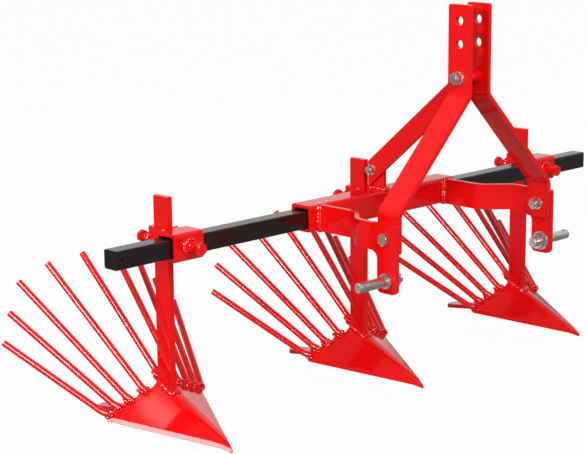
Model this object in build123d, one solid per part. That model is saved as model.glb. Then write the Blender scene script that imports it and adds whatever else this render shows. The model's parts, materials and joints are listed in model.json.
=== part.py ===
"""Three-row potato digger for a tractor's three-point hitch.

Millimetres. X runs along the toolbar, -Y points forward to the tractor, +Z is up.
The pieces are drawn round the middle of the toolbar, and are then set down so that the
origin is the middle of the ground under the machine.
"""

import os
from math import atan2, cos, degrees, hypot, radians, sin, sqrt, tan

from build123d import *

# Toolbar
BAR_SIDE = 40.0
BAR_WALL = 4.0
BAR_CORNER = 4.0
BAR_LENGTH = 1560.0
CAP_LIP = 3.0
CAP_PLUG_DEPTH = 20.0
CAP_PLAY = 0.1
VENT_DIAMETER = 5.0
VENT_INSET = 12.0

# Square tube pieces round the toolbar
BOX_SIDE = 60.0
BOX_WALL = 8.0
BOX_CORNER = 8.0
BOX_INNER_CORNER = 2.0
SLEEVE_LENGTH = 488.0
CLAMP_LENGTH = 78.0
ROW_PITCH = 600.0
SLIDE_PLAY = 0.05

# Shanks and their pockets
SHANK_DEPTH = 45.0
SHANK_THICKNESS = 15.0
SHANK_ABOVE_BAR = 98.0
SHANK_EDGE_ROUND = 2.0
SOCKET_WALL = 8.0
SOCKET_SIDE_PLAY = 0.5
SOCKET_REAR_GAP = 1.0
SOCKET_CORNER = 5.0

# Set screws and their weld nuts
SET_SCREW_DIAMETER = 16.0
SET_SCREW_PLAY = 0.1
SET_SCREW_TIP_GAP = 0.2
BAR_SCREW_LENGTH = 42.0
SHANK_SCREW_LENGTH = 40.0

# Share, folded along its ridge
SHARE_DROP = 318.0
SHARE_NOSE = 184.0
SHARE_EDGE_ANGLE = 28.8
SHARE_THICKNESS = 6.0
RIDGE_ANGLE = 25.4
WING_DROOP = 27.0
FOLD_RADIUS = 40.0
NOSE_RADIUS = 4.0
WING_CORNER_RADIUS = 12.0
REAR_EDGE_AT_RIDGE = 40.0
REAR_EDGE_SWEEP = 15.0
EDGE_BEVEL = 3.5
EDGE_BEVEL_ANGLE = 35.0
NOTCH_DEPTH = 7.0
NOTCH_RADIUS = 7.0
TONGUE_WIDTH = 16.0
TONGUE_CORNER = 4.0

# Rods behind the share, from the ridge outwards, one side
ROD_DIAMETER = 14.0
ROD_LAP = 12.0
ROD_END_GAP = 0.3
ROD_BEND_RADIUS = 30.0
ROD_FOOT_OUT = (0.0, 43.0, 76.5, 103.5, 128.5)
ROD_TIP_OUT = (0.0, 92.0, 165.0, 204.0, 238.0)
ROD_TIP_BACK = (301.0, 306.0, 313.0, 297.0, 274.0)
ROD_TIP_DROP = (70.0, 78.0, 107.0, 166.0, 221.0)

# Heel strip under the share
HEEL_WIDTH = 36.0
HEEL_THICKNESS = 10.0
HEEL_LAP = 60.0
HEEL_REACH = 250.0
HEEL_START = 60.0
HEEL_BEND_RADIUS = 20.0

# Lower hitch arms
ARM_THICKNESS = 10.0
ARM_ROOT_X = 216.0
ARM_TIP_X = 270.0
ARM_JOGGLE_START = 108.0
ARM_JOGGLE_RUN = 52.0
ARM_BEND_RADIUS = 40.0
ARM_PLATE_WIDTH = 54.0
ARM_PLATE_CORNER = 12.0
ARM_INSIDE_CORNER = 18.0
ARM_FRONT_CORNER = 5.0
HITCH_REACH = 274.0

# Lower hitch pins
PIN_DROP = 89.0
PIN_AHEAD = 5.0
PIN_BELOW = 28.0
PIN_DIAMETER = 22.0
PIN_REACH = 88.0
PIN_CHAMFER = 2.5
PIN_COLLAR_DIAMETER = 34.0
PIN_COLLAR_WIDTH = 6.0
PIN_STEP_DIAMETER = 29.0
PIN_STEP_WIDTH = 3.0
PIN_HOLE_PLAY = 0.4
LINCH_HOLE_DIAMETER = 11.0
LINCH_HOLE_INSET = 14.0
PIN_NUT_FLATS = 34.0
PIN_NUT_HEIGHT = 14.0
PIN_WASHER_DIAMETER = 44.0
PIN_WASHER_THICKNESS = 3.0
PIN_TAIL = 15.0

# Mast
MAST_WIDTH = 60.0
MAST_THICKNESS = 10.0
MAST_GAP = 52.0
MAST_CORNER = 6.0
MAST_BEND_RADIUS = 20.0
MAST_SPLAY_BELOW = 39.0
TOP_LINK_HEIGHT = 478.0
TOP_LINK_PITCH = 50.0
TOP_LINK_DIAMETER = 20.0
MAST_TOP_MARGIN = 35.0
MAST_BOLT_BELOW = 73.0
LEG_UPRIGHT = 53.0
LEG_BOTTOM_MARGIN = 32.0

# Brace between mast and sleeve
BRACE_WIDTH = 45.0
BRACE_THICKNESS = 8.0
BRACE_LOWER_BACK = 8.0
BRACE_LOWER_RISE = 45.0
BRACE_END_MARGIN = 12.0
BRACE_TUBE_OFFSET = 4.0
SPACER_DIAMETER = 26.0
LUG_THICKNESS = 8.0
LUG_LENGTH = 44.0
LUG_MARGIN = 18.0

# Bolts: thread, flats of head and nut, head height, nut height, washer
M16 = dict(thread=16.0, flats=24.0, head=10.0, nut=13.0, washer=30.0, washer_thick=3.0)
M12 = dict(thread=12.0, flats=19.0, head=8.0, nut=10.0, washer=24.0, washer_thick=2.5)
BOLT_HOLE_PLAY = 1.0
BOLT_TAIL = 5.0

# Worked out from the above
BOX_SLACK = BOX_SIDE - 2 * BOX_WALL - BAR_SIDE
SLEEVE_CENTRE = Vector(0, 0, BOX_SLACK / 2)
CLAMP_CENTRE = Vector(0, SLIDE_PLAY - BOX_SLACK / 2, BOX_SLACK / 2 - SLIDE_PLAY)
SOCKET_DEPTH = SHANK_DEPTH + SOCKET_REAR_GAP + SOCKET_WALL
SLEEVE_TOP = SLEEVE_CENTRE.Z + BOX_SIDE / 2
SLEEVE_BOTTOM = SLEEVE_CENTRE.Z - BOX_SIDE / 2
SLEEVE_FRONT = SLEEVE_CENTRE.Y - BOX_SIDE / 2
HITCH_Y = -HITCH_REACH
PIN_Z = -PIN_DROP
PIN_Y = HITCH_Y - PIN_AHEAD
MAST_HOLE_Z = PIN_Z + TOP_LINK_HEIGHT
MAST_BOLT_Z = MAST_HOLE_Z - MAST_BOLT_BELOW
MAST_TOP_Z = MAST_HOLE_Z + TOP_LINK_PITCH + MAST_TOP_MARGIN
SPLAY_TOP_Z = MAST_BOLT_Z - MAST_SPLAY_BELOW
ARM_INNER_X = ARM_TIP_X - ARM_THICKNESS
BRACE_LOWER = Vector(0, BRACE_LOWER_BACK, SLEEVE_TOP + BRACE_LOWER_RISE)
BRACE_UPPER = Vector(0, HITCH_Y, MAST_BOLT_Z)
RIDGE = Vector(0, cos(radians(RIDGE_ANGLE)), sin(radians(RIDGE_ANGLE)))
RIDGE_SLOPE = tan(radians(RIDGE_ANGLE))
WING_FALL = tan(radians(WING_DROOP)) / cos(radians(RIDGE_ANGLE))
FOLD_DROP = FOLD_RADIUS * (1 / cos(radians(WING_DROOP)) - 1)
REAR_SLOPE = tan(radians(REAR_EDGE_SWEEP))
SIDES = {"left": -1, "right": 1}


# Shared forms

def along(point, direction, shape):
    """Place a shape drawn on the XY plane with its Z axis along a direction."""
    up = (0, 0, 1) if abs(direction[2]) < 0.9 else (0, 1, 0)
    return Plane(origin=tuple(point), x_dir=up, z_dir=direction) * shape


def square_tube(side, wall, corner, inner_corner, length):
    """A square tube along X, centred on the origin."""
    hollow = side - 2 * wall
    section = RectangleRounded(side, side, corner) - RectangleRounded(hollow, hollow, inner_corner)
    return extrude(Plane.YZ * section, length / 2, both=True)


def bent_strip(points, thickness, bend_radius):
    """The edge view of a flat bar: a polyline with round bends, as thick as the bar."""
    return trace(FilletPolyline(*points, radius=bend_radius), thickness)


def bent_rod(points, diameter, bend_radius):
    """A round rod along two straight runs, with one round bend between them."""
    first, bend, second = FilletPolyline(*points, radius=bend_radius).edges()
    pieces = []
    for run in (first, second):
        section = Plane(origin=run @ 0, z_dir=run % 0) * Circle(diameter / 2)
        pieces.append(extrude(section, run.length))
    section = Plane(origin=bend @ 0, z_dir=bend % 0) * Circle(diameter / 2)
    pivot = Axis(bend.arc_center, (bend % 0).cross(bend % 1))
    turn = degrees(bend.length / bend_radius)
    return pieces[0] + revolve(section, pivot, turn) + pieces[1]


def hexagon(flats, height):
    """A hexagonal prism from Z = 0 upwards, with its upper corners turned off."""
    corner = flats / sqrt(3)
    turned = corner - 0.48 * flats
    prism = extrude(RegularPolygon(flats / 2, 6, major_radius=False), height)
    blank = extrude(Circle(corner), height)
    blank = chamfer(blank.edges().group_by(Axis.Z)[-1], turned * tan(radians(30)), turned)
    return prism & blank


def hex_bolt(size, length):
    """A hexagon bolt: the head sits on Z = 0, and the shaft reaches down by its length."""
    shaft = extrude(Circle(size["thread"] / 2), -length)
    return hexagon(size["flats"], size["head"]) + shaft


def hex_nut(flats, height, bore):
    """A hexagon nut from Z = 0 upwards."""
    return hexagon(flats, height) - extrude(Circle(bore / 2), height)


def washer(outer, bore, thickness):
    """A plain washer from Z = 0 upwards."""
    return extrude(Circle(outer / 2) - Circle(bore / 2), thickness)


def drilled(shape, point, direction, diameter, reach):
    """Drill a round hole through a point, reaching both ways along a direction."""
    return shape - along(point, direction, extrude(Circle(diameter / 2), reach, both=True))


# Toolbar and the tube pieces on it

def toolbar_tube():
    bar = square_tube(BAR_SIDE, BAR_WALL, BAR_CORNER, BAR_CORNER / 2, BAR_LENGTH)
    vent = (VENT_INSET - BAR_LENGTH / 2, -BAR_SIDE / 2, 0)
    return drilled(bar, vent, (0, 1, 0), VENT_DIAMETER, BAR_WALL + 1)


def toolbar_cap(side):
    """A plug with a lip that closes one end of the toolbar."""
    plug_side = BAR_SIDE - 2 * BAR_WALL - 2 * CAP_PLAY
    lip = extrude(RectangleRounded(BAR_SIDE, BAR_SIDE, BAR_CORNER), CAP_LIP)
    lip = chamfer(lip.edges().group_by(Axis.Z)[-1], CAP_LIP / 3)
    plug = extrude(RectangleRounded(plug_side, plug_side, BAR_CORNER / 2), -CAP_PLUG_DEPTH)
    return along((side * BAR_LENGTH / 2, 0, 0), (side, 0, 0), lip + plug)


def hitch_sleeve():
    tube = square_tube(BOX_SIDE, BOX_WALL, BOX_CORNER, BOX_INNER_CORNER, SLEEVE_LENGTH)
    return Pos(SLEEVE_CENTRE) * tube


def clamp_box(x):
    tube = square_tube(BOX_SIDE, BOX_WALL, BOX_CORNER, BOX_INNER_CORNER, CLAMP_LENGTH)
    tube = Pos(CLAMP_CENTRE + Vector(x, 0, 0)) * tube
    front = CLAMP_CENTRE + Vector(x, -BOX_SIDE / 2, 0)
    return drilled(tube, front, (0, 1, 0), SET_SCREW_DIAMETER + SET_SCREW_PLAY, BOX_WALL + 1)


def shank_socket(box_rear):
    """A U-shaped pocket whose open side is welded to the back of a box."""
    inner = SHANK_THICKNESS + 2 * SOCKET_SIDE_PLAY
    outer = inner + 2 * SOCKET_WALL
    depth = SOCKET_DEPTH - SOCKET_WALL
    block = Pos(0, SOCKET_DEPTH / 2) * Rectangle(outer, SOCKET_DEPTH)
    block = fillet(block.vertices().group_by(Axis.Y)[-1], SOCKET_CORNER)
    section = block - Pos(0, depth / 2) * Rectangle(inner, depth)
    pocket = Pos(box_rear) * extrude(section, BOX_SIDE / 2, both=True)
    rear = box_rear + Vector(0, SOCKET_DEPTH, 0)
    return drilled(pocket, rear, (0, 1, 0), SET_SCREW_DIAMETER + SET_SCREW_PLAY, SOCKET_WALL + 1)


def weld_nut(seat, direction):
    """The nut of a set screw, on the face that it is welded to."""
    nut = hex_nut(M16["flats"], M16["nut"], SET_SCREW_DIAMETER + SET_SCREW_PLAY)
    return along(seat, direction, nut)


def set_screw(pressed, direction, length):
    """A set screw whose tip stops just short of the face that it presses on."""
    head = pressed + Vector(*direction) * (SET_SCREW_TIP_GAP + length)
    return along(head, direction, hex_bolt(M16, length))


# Row unit: shank, share, rods and heel

def wing_top(out, back):
    """A point on the share's flat upper face, at a distance out and back from the shank."""
    return Vector(out, back, RIDGE_SLOPE * back - WING_FALL * abs(out) - SHARE_DROP)


def fold_section(start):
    """The folded plate's section square to its ridge, on a plane through the ridge."""
    reach = 2 * ROD_FOOT_OUT[-1]
    fall = reach * tan(radians(WING_DROOP))
    inside = SHARE_THICKNESS / cos(radians(WING_DROOP))
    outer = FilletPolyline((-reach, -fall), (0, 0), (reach, -fall), radius=FOLD_RADIUS)
    inner = FilletPolyline((reach, -fall - inside), (0, -inside), (-reach, -fall - inside),
                           radius=FOLD_RADIUS - SHARE_THICKNESS)
    ends = [Line(outer @ 1, inner @ 0), Line(inner @ 1, outer @ 0)]
    return Plane(origin=start, x_dir=(1, 0, 0), z_dir=-RIDGE) * make_face([outer, inner, *ends])


def share_outline():
    """The share seen from above, without its notches."""
    edge = tan(radians(SHARE_EDGE_ANGLE))
    out = edge * (SHARE_NOSE + REAR_EDGE_AT_RIDGE) / (1 - edge * REAR_SLOPE)
    back = REAR_EDGE_AT_RIDGE + REAR_SLOPE * out
    shape = Polygon((0, -SHARE_NOSE), (out, back), (0, REAR_EDGE_AT_RIDGE), (-out, back), align=None)
    corners = shape.vertices().sort_by(Axis.X)
    shape = fillet([corners[0], corners[-1]], WING_CORNER_RADIUS)
    return fillet(shape.vertices().sort_by(Axis.Y)[:1], NOSE_RADIUS)


def rear_edge(out):
    """How far back the tongue tips lie at a distance out from the ridge."""
    return REAR_EDGE_AT_RIDGE + REAR_SLOPE * out


def rod_foot(index):
    """How far back the foot of a rod starts: on its tongue, or behind the shank."""
    if index == 0:
        return SHANK_DEPTH + ROD_END_GAP + (ROD_DIAMETER - FOLD_DROP) * RIDGE.Z
    return rear_edge(ROD_FOOT_OUT[index]) - ROD_LAP


def rod_angle(index):
    """The angle of a rod from straight back, seen from above, in radians."""
    return atan2(ROD_TIP_OUT[index] - ROD_FOOT_OUT[index], ROD_TIP_BACK[index] - rod_foot(index))


def share_notches():
    """The round-bottomed notches between the rods, seen from above, on one side."""
    cuts = []
    for index in range(len(ROD_FOOT_OUT) - 1):
        near, far = ROD_FOOT_OUT[index:index + 2]
        middle = (near + far) / 2
        width = far - near - TONGUE_WIDTH
        turn = -degrees(rod_angle(index) + rod_angle(index + 1)) / 2
        length = 4 * NOTCH_DEPTH
        round_off = min(NOTCH_RADIUS, 0.48 * width)
        slot = Pos(0, length / 2) * RectangleRounded(width, length, round_off)
        cuts.append(Pos(middle, rear_edge(middle) - NOTCH_DEPTH) * Rot(0, 0, turn) * slot)
    return cuts


def edge_bevel(side):
    """The wedge taken off the upper side of one leading edge."""
    edge = tan(radians(SHARE_EDGE_ANGLE))
    nose = wing_top(0, -SHARE_NOSE)
    far = wing_top(side * edge, 1 - SHARE_NOSE)
    run = (far - nose).normalized()
    normal = Vector(side * WING_FALL, -RIDGE_SLOPE, 1).normalized()
    inward = normal.cross(run).normalized() * side
    lean = radians(EDGE_BEVEL_ANGLE)
    face = (normal * cos(lean) - inward * sin(lean)).normalized()
    start = nose + inward * (EDGE_BEVEL / tan(lean))
    reach = SHARE_NOSE + REAR_EDGE_AT_RIDGE
    cutter = extrude(Rectangle(4 * reach, 4 * reach), reach)
    return Plane(origin=start, x_dir=run, z_dir=face) * cutter


def share():
    """The folded share, with the ridge over the origin's X and the shank's front at Y = 0."""
    start = Vector(0, 0, -SHARE_DROP) + RIDGE * (2 * REAR_EDGE_AT_RIDGE + SHARE_NOSE)
    plate = extrude(fold_section(start), 2 * (2 * REAR_EDGE_AT_RIDGE + SHARE_NOSE))
    plan = share_outline()
    for cut in share_notches():
        plan -= cut
        plan -= mirror(cut, Plane.YZ)
    tongue = rod_foot(0) + ROD_LAP
    plan += Pos(0, tongue / 2) * RectangleRounded(TONGUE_WIDTH, tongue, TONGUE_CORNER)
    blank = plate & Pos(0, 0, -2 * SHARE_DROP) * extrude(plan, 2 * SHARE_DROP)
    return blank - edge_bevel(1) - edge_bevel(-1)


def rod(index, side):
    """A round rod: its foot lies on a tongue of the share, then it bends up to its tip."""
    out, start, angle = ROD_FOOT_OUT[index], rod_foot(index), rod_angle(index)
    lift = ROD_DIAMETER / 2
    normal = Vector(WING_FALL, -RIDGE_SLOPE, 1).normalized() * lift
    if index == 0:
        normal = Vector(0, -RIDGE.Z, RIDGE.Y) * (lift - FOLD_DROP)
    foot, bend = (wing_top(out + step * sin(angle), start + step * cos(angle)) + normal
                  for step in (0, ROD_LAP))
    tip = Vector(ROD_TIP_OUT[index], ROD_TIP_BACK[index], -ROD_TIP_DROP[index])
    points = [Vector(side * p.X, p.Y, p.Z) for p in (foot, bend, tip)]
    return bent_rod(points, ROD_DIAMETER, ROD_BEND_RADIUS)


def rods():
    """The fan of rods behind one share."""
    fan = [rod(0, 1)]
    for index in range(1, len(ROD_FOOT_OUT)):
        fan += [rod(index, -1), rod(index, 1)]
    return fan


def shank():
    """An upright flat bar whose foot is cut to the ridge of the share."""
    foot = -SHARE_DROP - FOLD_DROP / RIDGE.Y
    side = Polygon((0, foot), (SHANK_DEPTH, foot + RIDGE_SLOPE * SHANK_DEPTH),
                   (SHANK_DEPTH, SHANK_ABOVE_BAR), (0, SHANK_ABOVE_BAR), align=None)
    bar = extrude(Plane.YZ * side, SHANK_THICKNESS / 2, both=True)
    top = bar.faces().sort_by(Axis.Z)[-1].edges()
    return fillet(bar.edges().filter_by(Axis.Z) + top, SHANK_EDGE_ROUND)


def heel(ground):
    """A strip that lies under the share's ridge and runs back and down to the ground."""
    edge = HEEL_WIDTH / 2
    under = SHARE_THICKNESS / cos(radians(WING_DROOP)) / RIDGE.Y
    half = HEEL_THICKNESS / 2
    bend = wing_top(edge, -HEEL_START) - Vector(edge, 0, under)
    bend = bend + Vector(0, RIDGE.Z, -RIDGE.Y) * half
    front = bend - RIDGE * HEEL_LAP
    fall = bend.Z - half - ground
    run = HEEL_REACH - bend.Y
    lift = half * hypot(1, fall / run)
    rear = Vector(0, HEEL_REACH, ground + lift)
    path = [(front.Y, front.Z), (bend.Y, bend.Z), (rear.Y, rear.Z)]
    strip = extrude(Plane.YZ * bent_strip(path, HEEL_THICKNESS, HEEL_BEND_RADIUS), edge, both=True)
    plan = Rectangle(HEEL_WIDTH, 2 * HEEL_REACH)
    plan = fillet(plan.vertices().group_by(Axis.Y)[-1], edge * 0.9)
    return strip & Pos(0, 0, -2 * SHARE_DROP) * extrude(plan, 2 * SHARE_DROP)


# Three-point hitch

def hitch_arm(side):
    """A flat arm, joggled outwards, whose front end turns down into a plate for the pin."""
    half = ARM_THICKNESS / 2
    root, tip = ARM_ROOT_X - half, ARM_TIP_X - half
    joggle = SLEEVE_FRONT - ARM_JOGGLE_START
    front = PIN_Y - ARM_PLATE_WIDTH / 2
    rear = PIN_Y + ARM_PLATE_WIDTH / 2
    bottom = PIN_Z - PIN_BELOW
    path = [(root, SLEEVE_FRONT), (root, joggle), (tip, joggle - ARM_JOGGLE_RUN), (tip, front)]
    strip = Pos(0, 0, bottom) * extrude(bent_strip(path, ARM_THICKNESS, ARM_BEND_RADIUS),
                                        SLEEVE_TOP - bottom)
    outline = Polygon((SLEEVE_FRONT, SLEEVE_TOP), (front, SLEEVE_TOP), (front, bottom),
                      (rear, bottom), (rear, SLEEVE_BOTTOM), (SLEEVE_FRONT, SLEEVE_BOTTOM),
                      align=None)
    low = outline.vertices().group_by(Axis.Y)[0]
    outline = fillet(low, ARM_PLATE_CORNER)
    inside = outline.vertices().sort_by_distance((rear, SLEEVE_BOTTOM))[:1]
    outline = fillet(inside, ARM_INSIDE_CORNER)
    nose = outline.vertices().sort_by_distance((front, SLEEVE_TOP))[:1]
    outline = fillet(nose, ARM_FRONT_CORNER)
    arm = strip & extrude(Plane.YZ * outline, 2 * ARM_TIP_X)
    pin_hole = (tip, PIN_Y, PIN_Z)
    bolt_hole = (tip, HITCH_Y, 0)
    arm = drilled(arm, pin_hole, (1, 0, 0), PIN_DIAMETER + PIN_HOLE_PLAY, ARM_THICKNESS)
    arm = drilled(arm, bolt_hole, (1, 0, 0), M16["thread"] + BOLT_HOLE_PLAY, ARM_THICKNESS)
    return arm if side > 0 else mirror(arm, Plane.YZ)


def mast_leg(side):
    """A flat bar of the mast: upright at the top, splayed, and upright again on its arm."""
    half = MAST_THICKNESS / 2
    near, far = MAST_GAP / 2 + half, ARM_INNER_X - half
    path = [(near, MAST_TOP_Z), (near, SPLAY_TOP_Z), (far, LEG_UPRIGHT), (far, -LEG_BOTTOM_MARGIN)]
    edge_view = Plane.XZ * bent_strip(path, MAST_THICKNESS, MAST_BEND_RADIUS)
    leg = Pos(0, HITCH_Y, 0) * extrude(edge_view, MAST_WIDTH / 2, both=True)
    height = MAST_TOP_Z + LEG_BOTTOM_MARGIN
    blank = Pos(0, HITCH_Y, MAST_TOP_Z - height / 2) * extrude(
        Plane.YZ * RectangleRounded(MAST_WIDTH, height, MAST_CORNER), 2 * ARM_TIP_X)
    leg = leg & blank
    for rise in (0, TOP_LINK_PITCH):
        hole = (near, HITCH_Y, MAST_HOLE_Z + rise)
        leg = drilled(leg, hole, (1, 0, 0), TOP_LINK_DIAMETER, MAST_THICKNESS)
    for hole in ((near, HITCH_Y, MAST_BOLT_Z), (far, HITCH_Y, 0)):
        leg = drilled(leg, hole, (1, 0, 0), M16["thread"] + BOLT_HOLE_PLAY, MAST_THICKNESS)
    return leg if side > 0 else mirror(leg, Plane.YZ)


def mast_brace():
    """A sloping flat bar, cut upright at both ends, and round the mast's tube at the upper one."""
    slope = (BRACE_LOWER - BRACE_UPPER).normalized()
    reach = (BRACE_LOWER - BRACE_UPPER).length
    bar = Pos(reach / 2, 0) * Rectangle(reach + 2 * BRACE_WIDTH, BRACE_WIDTH)
    on_slope = Plane(origin=BRACE_UPPER, x_dir=slope, z_dir=(1, 0, 0))
    brace = extrude(on_slope * bar, BRACE_THICKNESS / 2, both=True)
    front, rear = BRACE_UPPER.Y + BRACE_TUBE_OFFSET, BRACE_LOWER.Y + BRACE_END_MARGIN
    centre = (BRACE_UPPER + BRACE_LOWER) / 2
    brace &= Pos(0, (front + rear) / 2, centre.Z) * Box(2 * BRACE_THICKNESS, rear - front, 2 * reach)
    brace = drilled(brace, BRACE_UPPER, (1, 0, 0), SPACER_DIAMETER, BRACE_THICKNESS)
    return drilled(brace, BRACE_LOWER, (1, 0, 0), M12["thread"] + BOLT_HOLE_PLAY, BRACE_THICKNESS)


def brace_lug():
    """An upright plate on the sleeve, with its upper corners rounded off."""
    height = BRACE_LOWER_RISE + LUG_MARGIN
    plate = Pos(0, height / 2) * Rectangle(LUG_LENGTH, height)
    plate = fillet(plate.vertices().group_by(Axis.Y)[-1], LUG_LENGTH / 4)
    lug = extrude(Plane.YZ * plate, LUG_THICKNESS)
    lug = Pos(BRACE_THICKNESS / 2, SLEEVE_CENTRE.Y, SLEEVE_TOP) * lug
    return drilled(lug, BRACE_LOWER, (1, 0, 0), M12["thread"] + BOLT_HOLE_PLAY,
                   BRACE_THICKNESS + LUG_THICKNESS)


def mast_spacer():
    """The tube round the mast bolt that keeps the legs apart and carries the brace."""
    tube = washer(SPACER_DIAMETER, M16["thread"] + BOLT_HOLE_PLAY, MAST_GAP)
    return along(BRACE_UPPER - Vector(MAST_GAP / 2, 0, 0), (1, 0, 0), tube)


def bolted(head_seat, nut_seat, size):
    """A bolt, its nut and the nut's washer, clamping between two seats along X."""
    way = 1 if head_seat.X > nut_seat.X else -1
    grip = abs(head_seat.X - nut_seat.X)
    length = grip + size["washer_thick"] + size["nut"] + BOLT_TAIL
    bolt = along(head_seat, (way, 0, 0), hex_bolt(size, length))
    ring = washer(size["washer"], size["thread"] + BOLT_HOLE_PLAY, size["washer_thick"])
    ring = along(nut_seat, (-way, 0, 0), ring)
    nut = hex_nut(size["flats"], size["nut"], size["thread"] + SET_SCREW_PLAY)
    nut = along(nut_seat - Vector(way * size["washer_thick"], 0, 0), (-way, 0, 0), nut)
    return bolt, nut, ring


def lower_pin(side):
    """A turned hitch pin: tail, collar, step and pin, with a hole for a linch pin."""
    r_pin, r_collar, r_step = PIN_DIAMETER / 2, PIN_COLLAR_DIAMETER / 2, PIN_STEP_DIAMETER / 2
    tail = -(ARM_THICKNESS + PIN_WASHER_THICKNESS + PIN_NUT_HEIGHT + PIN_TAIL)
    step = PIN_COLLAR_WIDTH + PIN_STEP_WIDTH
    half = Polygon((0, tail), (r_pin - PIN_CHAMFER / 2, tail), (r_pin, tail + PIN_CHAMFER / 2),
                   (r_pin, 0), (r_collar, 0), (r_collar, PIN_COLLAR_WIDTH),
                   (r_step, PIN_COLLAR_WIDTH), (r_step, step), (r_pin, step),
                   (r_pin, PIN_REACH - PIN_CHAMFER), (r_pin - PIN_CHAMFER, PIN_REACH),
                   (0, PIN_REACH), align=None)
    pin = along((side * ARM_TIP_X, PIN_Y, PIN_Z), (side, 0, 0), revolve(Plane.XZ * half, Axis.Z))
    hole = (side * (ARM_TIP_X + PIN_REACH - LINCH_HOLE_INSET), PIN_Y, PIN_Z)
    return drilled(pin, hole, (0, 0, 1), LINCH_HOLE_DIAMETER, PIN_DIAMETER)


def lower_pin_fastening(side):
    """The washer and nut on the inner side of a lower hitch pin."""
    seat = Vector(side * ARM_INNER_X, PIN_Y, PIN_Z)
    inward = (-side, 0, 0)
    ring = washer(PIN_WASHER_DIAMETER, PIN_DIAMETER + PIN_HOLE_PLAY, PIN_WASHER_THICKNESS)
    nut = hex_nut(PIN_NUT_FLATS, PIN_NUT_HEIGHT, PIN_DIAMETER + SET_SCREW_PLAY)
    return along(seat, inward, ring), along(seat + Vector(*inward) * PIN_WASHER_THICKNESS, inward, nut)


# Assembly

def hitch_pieces():
    """The toolbar, the sleeve and the three-point hitch."""
    pieces = {
        "toolbar_tube": toolbar_tube(),
        "hitch_sleeve": hitch_sleeve(),
        "sleeve_socket": shank_socket(SLEEVE_CENTRE + Vector(0, BOX_SIDE / 2, 0)),
        "brace_lug": brace_lug(),
        "mast_brace": mast_brace(),
        "mast_spacer": mast_spacer(),
    }
    for name, side in SIDES.items():
        pieces[f"toolbar_cap_{name}"] = toolbar_cap(side)
        pieces[f"hitch_arm_{name}"] = hitch_arm(side)
        pieces[f"mast_leg_{name}"] = mast_leg(side)
        pieces[f"lower_pin_{name}"] = lower_pin(side)
        ring, nut = lower_pin_fastening(side)
        pieces[f"lower_pin_washer_{name}"], pieces[f"lower_pin_nut_{name}"] = ring, nut
        bolt, nut, ring = bolted(Vector(side * ARM_TIP_X, HITCH_Y, 0),
                                 Vector(side * (ARM_INNER_X - MAST_THICKNESS), HITCH_Y, 0), M16)
        pieces[f"leg_bolt_{name}"] = bolt
        pieces[f"leg_nut_{name}"], pieces[f"leg_washer_{name}"] = nut, ring
    mast_face = Vector(MAST_GAP / 2 + MAST_THICKNESS, 0, 0)
    bolt, nut, ring = bolted(BRACE_UPPER + mast_face, BRACE_UPPER - mast_face, M16)
    pieces["mast_bolt"], pieces["mast_nut"], pieces["mast_washer"] = bolt, nut, ring
    lug_face = Vector(BRACE_THICKNESS / 2 + LUG_THICKNESS, 0, 0)
    brace_face = Vector(-BRACE_THICKNESS / 2, 0, 0)
    bolt, nut, ring = bolted(BRACE_LOWER + lug_face, BRACE_LOWER + brace_face, M12)
    pieces["brace_bolt"], pieces["brace_nut"], pieces["brace_washer"] = bolt, nut, ring
    return pieces


def clamp_pieces(name, x):
    """A box that slides on the toolbar, its pocket, and the screw that locks it."""
    front = CLAMP_CENTRE + Vector(x, -BOX_SIDE / 2, 0)
    bar_face = Vector(x, -BAR_SIDE / 2, CLAMP_CENTRE.Z)
    return {
        f"clamp_box_{name}": clamp_box(x),
        f"clamp_socket_{name}": shank_socket(CLAMP_CENTRE + Vector(x, BOX_SIDE / 2, 0)),
        f"bar_nut_{name}": weld_nut(front, (0, -1, 0)),
        f"bar_screw_{name}": set_screw(bar_face, (0, -1, 0), BAR_SCREW_LENGTH),
    }


def row_pieces(name, x, box_centre):
    """The shank with its share, rods and heel, and the screw that locks it in its pocket."""
    seat = Vector(x, box_centre.Y + BOX_SIDE / 2, 0)
    shank_front = seat + Vector(0, SLIDE_PLAY, 0)
    pocket_rear = seat + Vector(0, SOCKET_DEPTH, box_centre.Z)
    shank_rear = shank_front + Vector(0, SHANK_DEPTH, box_centre.Z)
    plate = share()
    ground = plate.bounding_box().min.Z
    return {
        f"shank_{name}": Pos(shank_front) * shank(),
        f"share_{name}": Pos(shank_front) * plate,
        f"rods_{name}": Compound([Pos(shank_front) * piece for piece in rods()]),
        f"heel_{name}": Pos(shank_front) * heel(ground),
        f"shank_nut_{name}": weld_nut(pocket_rear, (0, 1, 0)),
        f"shank_screw_{name}": set_screw(shank_rear, (0, 1, 0), SHANK_SCREW_LENGTH),
    }


def assembly():
    """Every piece in its place, with the origin on the ground under the machine's middle."""
    pieces = hitch_pieces()
    for name, side in SIDES.items():
        pieces.update(clamp_pieces(name, side * ROW_PITCH))
        pieces.update(row_pieces(name, side * ROW_PITCH, CLAMP_CENTRE))
    pieces.update(row_pieces("middle", 0, SLEEVE_CENTRE))
    box = Compound([solid for piece in pieces.values() for solid in piece.solids()]).bounding_box()
    ground = Vector(box.center().X, box.center().Y, box.min.Z)
    return {name: Pos(-ground) * piece for name, piece in pieces.items()}, ground


if __name__ == "__main__":
    os.makedirs("parts", exist_ok=True)
    parts, origin = assembly()
    print(f"toolbar axis at Y {-origin.Y:.3f}, Z {-origin.Z:.3f}")
    for node, piece in parts.items():
        export_step(piece, f"parts/{node}.step")
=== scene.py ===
"""Looks of a three-row potato digger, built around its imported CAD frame.

Everything is in metres, in the frame's own axes: X runs along the toolbar, -Y points
forward to the tractor, and +Z is up.
"""

import json
import logging
import math
from abc import ABC, abstractmethod
from collections.abc import Iterable, Sequence
from dataclasses import dataclass, field
from enum import Enum

import bmesh
import bpy
from mathutils import Matrix, Vector
from mathutils.bvhtree import BVHTree

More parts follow.
